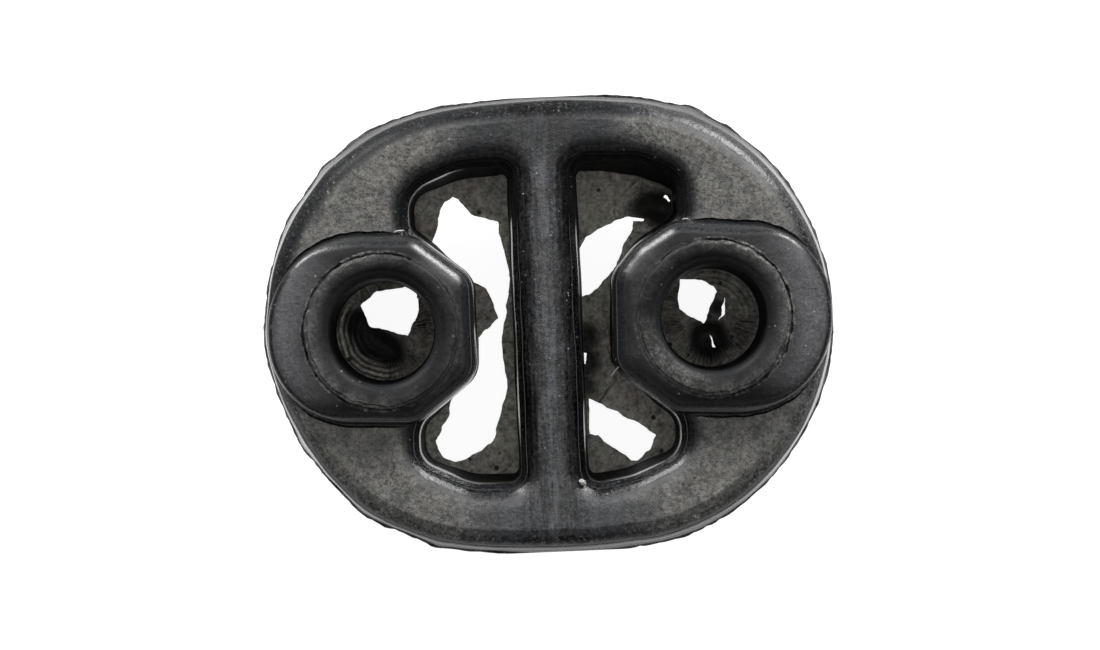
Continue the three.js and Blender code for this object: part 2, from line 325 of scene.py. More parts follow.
class HangerStage(bpy.types.PropertyGroup):
    """Camera, light and floor."""

    camera_height: length("Camera height", "Height of the camera over the parting plane", 700.0)
    picture_width: length("Picture width", "Width that the picture spans at the parting plane", 123.4)
    roll: FloatProperty(
        name="Roll", description="Turn of the hanger in the picture", default=math.radians(2.45),
        subtype="ANGLE",
    )
    aim_x: length("Aim along X", "Point under the camera, along X", 0.244)
    aim_y: length("Aim along Y", "Point under the camera, along Y", -0.066)
    overhead: power("Overhead", "Power of the overhead softbox", 9.0)
    right: power("Right", "Power of the low softbox at the upper right", 10.0)
    left: power("Left", "Power of the low softbox at the upper left", 9.0)
    surround: amount("Surround", "Strength of the dark surroundings", 0.08)
    paper: share("Paper", "Brightness that the paper shows by itself", 0.93)
    paper_mirrored: share("Mirrored paper", "Brightness of the paper in glossy surfaces", 0.9)


class Corner:
    """Rounded corner of an outline: centre, start direction, turn, and radius, below 0 if hollow."""

    def __init__(self, centre, facing, turn, radius):
        self.centre = Vector((centre[0], centre[1], 0.0))
        self.facing = facing
        self.turn = turn
        self.radius = radius

    def direction(self, turned):
        """Outward direction after part of the turn."""
        angle = self.facing + turned
        return Vector((math.cos(angle), math.sin(angle), 0.0))

    def point(self, turned):
        """Point of the outline after part of the turn."""
        return self.centre + self.direction(turned) * self.radius

    def placing(self):
        """Matrix that takes a profile drawn in the XZ plane to the corner's start."""
        turned = Matrix.Rotation(self.facing, 4, "Z")
        return Matrix.Translation(self.point(0.0)) @ turned


def rounded(corners, side=1):
    """Corners of an outline given as (x, y, radius) in millimetres, mirrored in X for the side at -X."""
    listed = [(side * x * MM, y * MM, radius * MM) for x, y, radius in corners]
    if side < 0:
        listed.reverse()
    found = []
    for before, (x, y, radius), after in zip(listed[-1:] + listed[:-1], listed, listed[1:] + listed[:1]):
        facing_in = math.atan2(y - before[1], x - before[0]) - math.pi / 2
        facing_out = math.atan2(after[1] - y, after[0] - x) - math.pi / 2
        turn = math.remainder(facing_out - facing_in, 2 * math.pi)
        signed = math.copysign(radius, turn)
        middle = facing_in + turn / 2
        shift = -signed / math.cos(turn / 2)
        centre = (x + shift * math.cos(middle), y + shift * math.sin(middle))
        found.append(Corner(centre, facing_in, turn, signed))
    return found


def eased(corners, reach):
    """Outline whose corners within reach of the bore are round enough for a wide rounding."""
    return [(x, y, max(radius, EASED_RADIUS) if abs(y) < reach else radius) for x, y, radius in corners]


def pocket_outline(side):
    """Outline of a pocket for its rim and wall."""
    return rounded(eased(POCKETS[side], EASED_REACH), side)


def boss_outline(side):
    """Outline of a boss."""
    return rounded(eased(BOSSES[side], math.inf), side)


def oval(half_length, half_width, crown):
    """Corners of the oval: two end arcs joined by slightly crowned sides."""
    end_radius = half_width - crown
    centre_x = half_length - end_radius
    side_radius = (centre_x ** 2 + crown ** 2 + 2 * end_radius * crown) / (2 * crown)
    centre_y = side_radius - half_width
    joint = math.atan2(centre_y, centre_x)
    across = math.pi - 2 * joint
    return [
        Corner((centre_x, 0.0), -joint, 2 * joint, end_radius),
        Corner((0.0, -centre_y), joint, across, side_radius),
        Corner((-centre_x, 0.0), math.pi - joint, 2 * joint, end_radius),
        Corner((0.0, centre_y), math.pi + joint, across, side_radius),
    ]


class Pen:
    """Draws an edge chain in the XZ plane, in straight runs and round turns."""

    def __init__(self, bm, x, z):
        self.bm = bm
        self.tip = bm.verts.new((x, 0.0, z))

    def line(self, x, z, pieces=1):
        """Straight run to a point."""
        step = (Vector((x, 0.0, z)) - self.tip.co) / pieces
        for _ in range(pieces):
            grown = bmesh.ops.extrude_vert_indiv(self.bm, verts=[self.tip], use_select_history=False)
            self.tip = grown["verts"][0]
            bmesh.ops.translate(self.bm, vec=step, verts=[self.tip])
        return self

    def turn(self, x, z, degrees, steps, rise=1.0):
        """Turn about a point, anticlockwise with X to the right and Z up, at a share of its rise."""
        drawn = set(self.bm.verts)
        spun = bmesh.ops.spin(
            self.bm, geom=[self.tip], cent=(x, 0.0, z), axis=(0.0, -1.0, 0.0), dvec=(0.0, 0.0, 0.0),
            angle=math.radians(degrees), space=Matrix.Identity(4), steps=steps, use_merge=False,
            use_normal_flip=False, use_duplicate=False,
        )
        self.tip = spun["geom_last"][0]
        about = Matrix.Translation((-x, 0.0, -z))
        turned = [vert for vert in self.bm.verts if vert not in drawn]
        bmesh.ops.scale(self.bm, vec=(1.0, 1.0, rise), space=about, verts=turned)
        return self


def move(bm, x=0.0, y=0.0, z=0.0):
    """Moves the whole of a bmesh."""
    bmesh.ops.translate(bm, vec=(x, y, z), verts=bm.verts[:])


def face_outwards(bm):
    """Turns the faces outwards."""
    bmesh.ops.recalc_face_normals(bm, faces=bm.faces[:])


def put_on_face(bm, facing):
    """Mirrors a tool drawn at the front face to the back face where facing is -1."""
    bmesh.ops.scale(bm, vec=(1.0, 1.0, facing), verts=bm.verts[:])
    face_outwards(bm)


def thicken(bm, thickness):
    """Makes a flat sheet a closed slab, as thick above the parting plane as below."""
    face_outwards(bm)
    grown = bmesh.ops.extrude_face_region(bm, geom=bm.faces[:])["geom"]
    raised = [item for item in grown if isinstance(item, bmesh.types.BMVert)]
    bmesh.ops.translate(bm, vec=(0.0, 0.0, thickness), verts=raised)
    move(bm, z=-thickness / 2)


def both_halves(bm):
    """Mirrors the upper half of a profile to below the parting plane."""
    bmesh.ops.mirror(
        bm, geom=bm.verts[:] + bm.edges[:], matrix=Matrix.Identity(4), merge_dist=TINY, axis="Z",
        mirror_u=False, mirror_v=False,
    )


def spin(bm, geom, centre, angle, steps, closed=False):
    """Spins geometry about an upright axis and gives back its last copy."""
    spun = bmesh.ops.spin(
        bm, geom=geom, cent=centre, axis=(0.0, 0.0, 1.0), dvec=(0.0, 0.0, 0.0), angle=angle,
        space=Matrix.Identity(4), steps=steps, use_merge=closed, use_normal_flip=False,
        use_duplicate=False,
    )
    return spun["geom_last"]


def close(bm):
    """Merges doubles, fills open ends and turns the faces outwards."""
    bmesh.ops.remove_doubles(bm, verts=bm.verts[:], dist=TINY)
    bmesh.ops.holes_fill(bm, edges=[edge for edge in bm.edges if edge.is_boundary], sides=0)
    wide = [face for face in bm.faces if len(face.verts) > 4]
    bmesh.ops.triangulate(bm, faces=wide, quad_method="BEAUTY", ngon_method="BEAUTY")
    face_outwards(bm)


def sweep(bm, corners, stride=STRIDE):
    """Carries the profile in bm round an outline: spun at each corner and drawn along each side."""
    bmesh.ops.transform(bm, matrix=corners[0].placing(), verts=bm.verts[:])
    strand = bm.verts[:] + bm.edges[:]
    for corner, following in zip(corners, corners[1:] + corners[:1]):
        swept = abs(corner.turn * corner.radius)
        steps = max(math.ceil(swept / stride), math.ceil(abs(corner.turn) / math.radians(9)), 2)
        strand = spin(bm, strand, corner.centre, corner.turn, steps)
        side = following.point(0.0) - corner.point(corner.turn)
        if side.length > TINY:
            pieces = math.ceil(side.length / (2 * stride))
            for _ in range(pieces):
                edges = [item for item in strand if isinstance(item, bmesh.types.BMEdge)]
                drawn = bmesh.ops.extrude_edge_only(
                    bm, edges=edges, use_normal_flip=False, use_select_history=False
                )["geom"]
                strand = [item for item in drawn if not isinstance(item, bmesh.types.BMFace)]
                moved = [item for item in strand if isinstance(item, bmesh.types.BMVert)]
                bmesh.ops.translate(bm, vec=side / pieces, verts=moved)
    close(bm)


def lathe(bm, x, steps):
    """Turns the profile in bm once about the upright axis at x."""
    spin(bm, bm.verts[:] + bm.edges[:], (0.0, 0.0, 0.0), 2 * math.pi, steps, closed=True)
    close(bm)
    move(bm, x)


def to_object(bm, name):
    """Object for a finished bmesh."""
    mesh = bpy.data.meshes.new(name)
    bm.to_mesh(mesh)
    bm.free()
    piece = bpy.data.objects.new(name, mesh)
    bpy.context.scene.collection.objects.link(piece)
    return piece


def combine(piece, operation, *tools):
    """Joins tools to a piece or cuts them from it, and removes the tools."""
    for tool in tools:
        modifier = piece.modifiers.new("combine", "BOOLEAN")
        modifier.operation = operation
        modifier.solver = "MANIFOLD"
        modifier.object = tool
    graph = bpy.context.evaluated_depsgraph_get()
    mesh = bpy.data.meshes.new_from_object(piece.evaluated_get(graph))
    if not mesh.polygons:
        raise RuntimeError(f"{operation} left nothing of {piece.name}")
    piece.modifiers.clear()
    spent = [piece.data] + [tool.data for tool in tools]
    piece.data = mesh
    for tool in tools:
        bpy.data.objects.remove(tool)
    for old in spent:
        bpy.data.meshes.remove(old)


def ramp(value, low, high):
    """Smooth step from 0 at low to 1 at high."""
    part = max(0.0, min(1.0, (value - low) / (high - low)))
    return part * part * (3 - 2 * part)


def sag(point, sags):
    """How far the film hangs down at a point, in metres, with hollows that run into each other."""
    drops = []
    for x, y, radius, depth in sags:
        away = min(1.0, math.hypot(point.x / MM - x, point.y / MM - y) / radius)
        drops.append(depth * MM * (0.5 + 0.5 * math.cos(math.pi * away)))
    return math.hypot(*drops)


def roam(point, period, seed):
    """Smooth noise from -1 to 1 that changes over a period, the same each run."""
    return noise.noise(point / period + Vector((seed, 7.1 * seed, -3.3 * seed)))


class HANGER_OT_block(bpy.types.Operator):
    """Moulds the oval block with its uneven flash and cuts both pockets"""

    bl_idname = "hanger.block"
    bl_label = "Block"

    def execute(self, context):
        sizes = context.scene.hanger_sizes
        face = sizes.face_height
        radius = sizes.body_edge
        shoulder = face - radius * math.sin(sizes.edge_turn) * sizes.edge_rise
        bm = bmesh.new()
        pen = Pen(bm, sizes.flash_reach, 0.0)
        pen.line(sizes.flash_reach * 0.8, FLASH_EDGE).line(0.0, FLASH_ROOT)
        lean = sizes.body_draft + sizes.shoulder_lean
        pen.line(-sizes.body_draft, shoulder - sizes.shoulder_height, pieces=6)
        pen.line(-lean, shoulder, pieces=2)
        pen.turn(-lean - radius, shoulder, math.degrees(sizes.edge_turn), 10, rise=sizes.edge_rise)
        pen.line(-lean - radius, face)
        both_halves(bm)
        corners = oval(HALF_LENGTH - sizes.flash_reach, HALF_WIDTH - sizes.flash_reach, sizes.side_crown)
        sweep(bm, corners, OVAL_STRIDE)
        for vert in bm.verts:
            centre = max(-corners[0].centre.x, min(corners[0].centre.x, vert.co.x))
            outward = (vert.co - Vector((centre, 0.0, vert.co.z))).normalized()
            height = abs(vert.co.z)
            belly = 1 - (height / face) ** 3
            reach = self.swelling(math.degrees(math.atan2(vert.co.y, vert.co.x)), belly)
            reach += 0.08 * roam(vert.co, 5.0 * MM, 1.0) + belly * 0.06 * roam(vert.co, 1.6 * MM, 1.5)
            if height < FLASH_BAND:
                rag = roam(vert.co, 1.3 * MM, 2.0) + 0.6 * roam(vert.co, 0.5 * MM, 3.0)
                reach += rag * sizes.flash_rag / MM
            vert.co += outward * reach * MM
            vert.co.x = max(-HALF_LENGTH, min(HALF_LENGTH, vert.co.x))
            vert.co.y = max(-HALF_WIDTH, min(HALF_WIDTH, vert.co.y))
        block = to_object(bm, MOULDING)
        combine(block, "DIFFERENCE", *[self.pocket(sizes, side) for side in SIDES])
        return {"FINISHED"}

    def swelling(self, heading, belly):
        """How far the wall stands out in a direction, in millimetres, with more of it at the belly."""
        reach = 0.0
        for middle, spread, rise, kept in SWELLINGS:
            away = math.remainder(heading - middle, 360) / spread
            reach += rise * math.exp(-(away ** 2)) * (kept + (1 - kept) * belly)
        return reach

    def pocket(self, sizes, side):
        """Space of a pocket: rim, steep edge, smooth lip and a wall that leans in to the film."""
        face = sizes.face_height
        rim = sizes.rim_rise
        lip = sizes.lip_width
        steep = sizes.rim_steep
        crest = face - rim - STEEP_HEIGHT
        level = crest - sizes.lip_height
        bm = bmesh.new()
        pen = Pen(bm, -sizes.pocket_draft, 0.0).line(-lip, level, pieces=6)
        for inwards, upwards in ((0.85, 0.35), (0.5, 0.7)):
            pen.line(-inwards * lip, level + upwards * sizes.lip_height)
        pen.line(0.0, crest).line(steep, face - rim)
        pen.turn(steep + sizes.rim_width, face - rim, -90, ROUNDING_STEPS, rise=rim / sizes.rim_width)
        pen.line(steep + sizes.rim_width, face + sizes.boss_height)
        both_halves(bm)
        sweep(bm, pocket_outline(side))
        self.ease_draft(bm, sizes.pocket_draft - lip, level)
        self.fill_corner(bm, sizes.corner_fill, level)
        for vert in bm.verts:
            aside = roam(vert.co, 4.0 * MM, 11.0 + side)
            along = roam(vert.co, 4.0 * MM, 14.0 + side)
            vert.co += Vector((aside, along, 0.0)) * 0.12 * MM
        return to_object(bm, "pocket")

    def ease_draft(self, bm, draft, level):
        """Takes the lean out of the wall beside the web, the boss and the outer ends of the lobes."""
        for vert in bm.verts:
            depth = 1 - abs(vert.co.z) / level
            flat = Vector((vert.normal.x, vert.normal.y, 0.0))
            if depth > 0 and flat.length > TINY:
                across = abs(vert.co.x) / MM
                along = abs(vert.co.y) / MM
                beside = 0.55 + 0.45 * (1 - ramp(along, 8.0, 10.0))
                outer = beside * ramp(across, 4.5, 7.0) * (1 - ramp(along, 14.0, 16.5))
                web = 0.75 * (1 - ramp(across, 4.2, 5.0))
                vert.co += flat.normalized() * draft * depth * max(outer, web)

    def fill_corner(self, bm, fill, level):
        """Leans the wall further in at the top of the upper right lobe."""
        for vert in bm.verts:
            depth = 1 - abs(vert.co.z) / level
            away = (Vector(FILLED_CORNER) * MM - vert.co.xy).length
            flat = Vector((vert.normal.x, vert.normal.y, 0.0))
            if depth > 0 and flat.length > TINY:
                facing_up = ramp(abs(flat.normalized().y), 0.0, 0.5)
                near = 1 - ramp(away, 3.0 * MM, 6.5 * MM)
                vert.co -= flat.normalized() * fill * depth * facing_up * near


class HANGER_OT_bosses(bpy.types.Operator):
    """Adds both bosses with their collars and cuts the bores"""

    bl_idname = "hanger.bosses"
    bl_label = "Bosses and bores"

    def execute(self, context):
        sizes = context.scene.hanger_sizes
        moulding = bpy.data.objects[MOULDING]
        bosses = [self.boss(sizes, side) for side in SIDES]
        for side, boss in zip(SIDES, bosses):
            grooves = [self.groove(sizes, side, facing) for facing in SIDES]
            combine(boss, "DIFFERENCE", self.clearing(sizes, side), *grooves)
        collars = [self.collar(sizes, side) for side in SIDES]
        creases = [self.crease(sizes, side, facing) for side in SIDES for facing in SIDES]
        combine(moulding, "DIFFERENCE", *creases)
        combine(moulding, "UNION", *bosses, *collars)
        combine(moulding, "DIFFERENCE", *[self.bore(sizes, side) for side in SIDES])
        return {"FINISHED"}

    def boss(self, sizes, side):
        """Boss with a round edge at its top, lower at its outer end."""
        shoulder = sizes.face_height + sizes.boss_height - sizes.boss_rise
        bm = bmesh.new()
        pen = Pen(bm, 0.0, 0.0).line(0.0, sizes.face_height).line(-sizes.boss_draft, shoulder)
        rise = sizes.boss_rise / sizes.boss_edge
        pen.turn(-sizes.boss_draft - sizes.boss_edge, shoulder, 90, ROUNDING_STEPS, rise=rise)
        both_halves(bm)
        sweep(bm, boss_outline(side))
        top = sizes.face_height + sizes.boss_height
        for vert in bm.verts:
            if abs(vert.co.z) > shoulder - TINY:
                flatter = sizes.boss_flatter * ramp(abs(vert.co.x) - BORE_X, 3.0 * MM, 9.0 * MM)
                vert.co.z += math.copysign((top - abs(vert.co.z)) * flatter, vert.co.z)
        return to_object(bm, "boss")

    def crease(self, sizes, side, facing):
        """Ragged groove for the crease round the foot of a boss, on one face of the block."""
        wide = sizes.foot_width
        face = sizes.face_height
        bm = bmesh.new()
        pen = Pen(bm, -wide, face + wide).line(2 * wide, face + wide)
        pen.line(0.5 * wide, face - sizes.foot_depth).line(-wide, face - sizes.foot_depth)
        pen.line(-wide, face + wide)
        bmesh.ops.remove_doubles(bm, verts=bm.verts[:], dist=TINY)
        sweep(bm, boss_outline(side))
        for vert in bm.verts:
            vert.co.x += 0.12 * MM * roam(vert.co, 1.2 * MM, 30.0 + side)
            vert.co.y += 0.12 * MM * roam(vert.co, 1.2 * MM, 33.0 + side)
            vert.co.z += 0.12 * MM * roam(vert.co, 0.8 * MM, 36.0 + side)
        put_on_face(bm, facing)
        return to_object(bm, "crease")

    def clearing(self, sizes, side):
        """Upright space over a pocket, which the boss's foot doesn't fill."""
        top = sizes.face_height + sizes.boss_height
        bm = bmesh.new()
        Pen(bm, -0.01 * MM, 0.0).line(-0.01 * MM, top)
        both_halves(bm)
        sweep(bm, pocket_outline(side))
        return to_object(bm, "clearing")

    def groove(self, sizes, side, facing):
        """Ragged groove in the boss round the outer side of the collar, on one face."""
        top = sizes.face_height + sizes.boss_height
        inside = sizes.ring_radius - sizes.groove_width
        outside = sizes.ring_radius + sizes.groove_width
        bm = bmesh.new()
        pen = Pen(bm, inside, top + MM).line(outside, top + MM).line(outside, top)
        pen.line(sizes.ring_radius, top - sizes.groove_depth).line(inside, top - sizes.groove_depth)
        pen.line(inside, top + MM)
        bmesh.ops.remove_doubles(bm, verts=bm.verts[:], dist=TINY)
        lathe(bm, side * BORE_X, COLLAR_STEPS)
        for vert in bm.verts:
            around = math.atan2(vert.co.y, side * vert.co.x - BORE_X)
            away = Vector((math.cos(around) * side, math.sin(around), 0.0))
            rag = roam(vert.co, 1.1 * MM, 40.0 + side) + roam(vert.co, 0.4 * MM, 42.0 + side)
            vert.co += away * 0.16 * MM * rag
            vert.co.z += sizes.groove_depth * ramp(abs(around), math.radians(90), math.radians(135))
            vert.co.z += sizes.groove_depth * 0.9 * roam(away * BORE_X, 2.2 * MM, 44.0 + side)
        put_on_face(bm, facing)
        return to_object(bm, "groove")

    def collar(self, sizes, side):
        """Collar whose crest lies just inside the ring line."""
        step_top = sizes.face_height + sizes.boss_height + sizes.collar_step
        curve = sizes.collar_round
        bm = bmesh.new()
        pen = Pen(bm, sizes.ring_radius, 0.0).line(sizes.ring_radius, step_top)
        pen.line(sizes.ring_radius - 0.02 * MM, CREST_HEIGHT - curve)
        pen.turn(sizes.ring_radius - 0.02 * MM - curve, CREST_HEIGHT - curve, 90, 6)
        pen.line(0.0, CREST_HEIGHT)
        both_halves(bm)
        lathe(bm, side * BORE_X, COLLAR_STEPS)
        for vert in bm.verts:
            outward = Vector((vert.co.x - side * BORE_X, vert.co.y, 0.0))
            if outward.length > 0.9 * sizes.ring_radius:
                rag = roam(vert.co, 1.6 * MM, 16.0 + side) + 0.7 * roam(vert.co, 0.6 * MM, 19.0 + side)
                vert.co += outward.normalized() * rag * 0.15 * MM
        return to_object(bm, "collar")

    def bore(self, sizes, side):
        """Bore with a bell mouth and a wall that leans in to the film."""
        mouth = sizes.mouth_round
        bell = CREST_HEIGHT - mouth * sizes.mouth_rise
        beyond = CREST_HEIGHT + mouth
        bm = bmesh.new()
        pen = Pen(bm, sizes.mouth_radius - sizes.bore_draft, 0.0)
        pen.line(sizes.mouth_radius, bell, pieces=5)
        pen.turn(sizes.mouth_radius + mouth, bell, -90, ROUNDING_STEPS, rise=sizes.mouth_rise)
        pen.line(sizes.mouth_radius + mouth, beyond).line(0.0, beyond)
        both_halves(bm)
        lathe(bm, side * BORE_X, BORE_STEPS)
        return to_object(bm, "bore")


class HANGER_OT_films(bpy.types.Operator):
    """Adds the torn film in the pockets and bores"""

    bl_idname = "hanger.films"
    bl_label = "Torn films"

    def execute(self, context):
        sizes = context.scene.hanger_sizes
        moulding = bpy.data.objects[MOULDING]
        films = []
        for side in SIDES:
            films.append(self.pocket_film(sizes, side))
            films.append(self.bore_film(sizes, side))
        combine(moulding, "UNION", *films)
        return {"FINISHED"}

    def tear(self, outline, centre_x):
        """Ragged prism through the film for one torn hole."""
        bm = bmesh.new()
        verts = [bm.verts.new((centre_x + x * MM, y * MM, 0.0)) for x, y in outline]
        bm.faces.new(verts)
        bmesh.ops.subdivide_edges(bm, edges=bm.edges[:], cuts=5, use_grid_fill=False)
        for vert in bm.verts:
            for axis, seed in ((0, 4.0), (1, 6.0)):
                ragged = 0.22 * MM * roam(vert.co, 1.1 * MM, seed)
                ragged += 0.09 * MM * roam(vert.co, 0.35 * MM, seed + 1)
                vert.co[axis] += ragged
        thicken(bm, 2 * FILM_TOOL_HEIGHT)
        bmesh.ops.triangulate(bm, faces=bm.faces[:], quad_method="BEAUTY", ngon_method="BEAUTY")
        face_outwards(bm)
        return to_object(bm, "tear")

    def sheet(self, low, high, cell):
        """Flat grid that spans a rectangle."""
        bm = bmesh.new()
        size = high - low
        columns = math.ceil(size.x / cell)
        rows = math.ceil(size.y / cell)
        bmesh.ops.create_grid(bm, x_segments=columns, y_segments=rows, size=0.5)
        bmesh.ops.scale(bm, vec=(size.x, size.y, 1.0), verts=bm.verts[:])
        move(bm, (low.x + high.x) / 2, (low.y + high.y) / 2)
        return bm

    def pocket_film(self, sizes, side):
        """Film of one pocket: an uneven sheet with sags, cut to the pocket and torn."""
        low, high = (Vector((x * MM, y * MM, 0.0)) for x, y in POCKET_SPAN)
        if side < 0:
            low.x, high.x = -high.x, -low.x
        bm = self.sheet(low, high, FILM_CELL)
        thicken(bm, sizes.film_thickness)
        face_outwards(bm)
        for vert in bm.verts:
            flat = Vector((vert.co.x, vert.co.y, 0.0))
            vert.co.z += 0.22 * MM * roam(flat, 3.0 * MM, 8.0) + 0.04 * MM * roam(flat, 0.8 * MM, 9.0)
            vert.co.z -= sag(flat, POCKET_SAGS[side])
        film = to_object(bm, "pocket_film")
        bm = bmesh.new()
        Pen(bm, 0.0, 0.0).line(0.0, FILM_TOOL_HEIGHT)
        both_halves(bm)
        sweep(bm, rounded(POCKETS[side], side))
        combine(film, "INTERSECT", to_object(bm, "film_outline"))
        combine(film, "DIFFERENCE", *[self.tear(outline, 0.0) for outline in POCKET_TEARS[side]])
        return film

    def bore_film(self, sizes, side):
        """Film of one bore: ribbed, arched and sagging, rooted in its wall and torn."""
        radius = sizes.mouth_radius - sizes.bore_draft
        half = sizes.film_thickness / 2
        centre = Vector((side * BORE_X, 0.0, 0.0))
        bm = bmesh.new()
        root = radius + sizes.film_root
        Pen(bm, root, 0.0).line(root, half).line(radius, half).line(0.0, half, pieces=26)
        both_halves(bm)
        lathe(bm, 0.0, 5 * RIBS)
        for vert in bm.verts:
            out = math.hypot(vert.co.x, vert.co.y)
            around = math.atan2(vert.co.y, vert.co.x)
            flat = Vector((vert.co.x, vert.co.y, 0.0))
            ribs = ramp(out, 0.45 * radius, 0.7 * radius) * (1 - ramp(out, 0.93 * radius, radius))
            turned = abs(math.remainder(math.degrees(around) - BORE_ARCS[side], 360))
            arcs = ribs * (1 - ramp(turned, 45.0, 80.0))
            ribs *= ramp(roam(flat, 3.5 * MM, 20.0 + side), -0.35, 0.1) * ramp(turned, 50.0, 75.0)
            vert.co.z += 0.24 * MM * ribs * math.cos(RIBS * around + 3.0 * roam(flat, 2.5 * MM, 23.0))
            vert.co.z += 0.15 * MM * arcs * math.cos(2 * math.pi * out / (ARC_SPACING * MM))
            inner = 1 - ramp(out, 0.9 * radius, radius)
            vert.co.z += 0.2 * MM * roam(flat, 2.0 * MM, 10.0 + side) * inner
            vert.co.z -= sag(flat, BORE_SAGS[side])
        move(bm, centre.x)
        film = to_object(bm, "bore_film")
        combine(film, "DIFFERENCE", *[self.tear(outline, centre.x) for outline in BORE_TEARS[side]])
        return film


class Value:
    """Socket of a shader node, so that maths on it reads as maths."""

    def __init__(self, finish, socket):
        self.finish = finish
        self.socket = socket

    def maths(self, operation, *inputs):
        """Math node on some values."""
        return self.finish.node("ShaderNodeMath", {"operation": operation}, dict(enumerate(inputs)))

    def __add__(self, other):
        return self.maths("ADD", self, other)

    __radd__ = __add__

    def __sub__(self, other):
        return self.maths("SUBTRACT", self, other)

    def __rsub__(self, other):
        return self.maths("SUBTRACT", other, self)

    def __mul__(self, other):
        return self.maths("MULTIPLY", self, other)

    __rmul__ = __mul__

    def __abs__(self):
        return self.maths("ABSOLUTE", self)

    def __neg__(self):
        return self.maths("SUBTRACT", 0.0, self)

    def __pow__(self, power):
        return self.maths("POWER", self, power)

    def __or__(self, other):
        return self.maths("MAXIMUM", self, other)

    def cosine(self):
        """Cosine of an angle in radians."""
        return self.maths("COSINE", self)

    def between(self, low, high):
        """0 below low, 1 above high, and a smooth step between."""
        return self.finish.node(
            "ShaderNodeMapRange", {"interpolation_type": "SMOOTHSTEP"},
            {"Value": self, "From Min": low, "From Max": high},
        )

    def band(self, low, high, soft):
        """1 between low and high, and 0 beyond, with soft ends."""
        return self.between(low - soft, low) * (1 - self.between(high, high + soft))


class Finish:
    """Material made of shader nodes."""

    def __init__(self, name):
        self.material = bpy.data.materials.new(name)
        self.material.use_nodes = True
        self.tree = self.material.node_tree
        self.tree.nodes.clear()

    def node(self, kind, settings=None, inputs=None, output=0):
        """Adds a node with its settings and inputs, and gives back one of its outputs."""
        made = self.tree.nodes.new(kind)
        for name, value in (settings or {}).items():
            setattr(made, name, value)
        for name, value in (inputs or {}).items():
            if isinstance(value, Value):
                self.tree.links.new(value.socket, made.inputs[name])
            else:
                made.inputs[name].default_value = value
        return Value(self, made.outputs[output])

    def mix(self, factor, first, second):
        """Colour between two colours."""
        return self.node("ShaderNodeMix", {"data_type": "RGBA"}, {0: factor, 6: first, 7: second}, 2)

    def tint(self, shade, strength):
        """Colour made lighter or darker."""
        return self.node("ShaderNodeVectorMath", {"operation": "SCALE"}, {0: shade, "Scale": strength})

    def noise(self, place, scale, detail=2.0, roughness=0.5, distortion=0.0):
        """Noise from 0 to 1 on coordinates in millimetres."""
        return self.node(
            "ShaderNodeTexNoise", None,
            {
                "Vector": place, "Scale": scale, "Detail": detail, "Roughness": roughness,
                "Distortion": distortion,
            },
        )

    def part(self, vector, axis):
        """X, Y or Z of a vector, as axis 0, 1 or 2."""
        return self.node("ShaderNodeSeparateXYZ", None, {"Vector": vector}, axis)

    def spots(self, place, scale, size):
        """Round spots of a size in cells, one to each cell."""
        cells = self.node("ShaderNodeTexVoronoi", {"feature": "F1"}, {"Vector": place, "Scale": scale})
        return 1 - cells.between(size * 0.5, size)

    def output(self, surface):
        """Connects the surface to the material's output."""
        end = self.tree.nodes.new("ShaderNodeOutputMaterial")
        self.tree.links.new(surface.socket, end.inputs["Surface"])
        return self.material


def opaque(rgb):
    """Colour with full alpha."""
    return (rgb[0], rgb[1], rgb[2], 1.0)


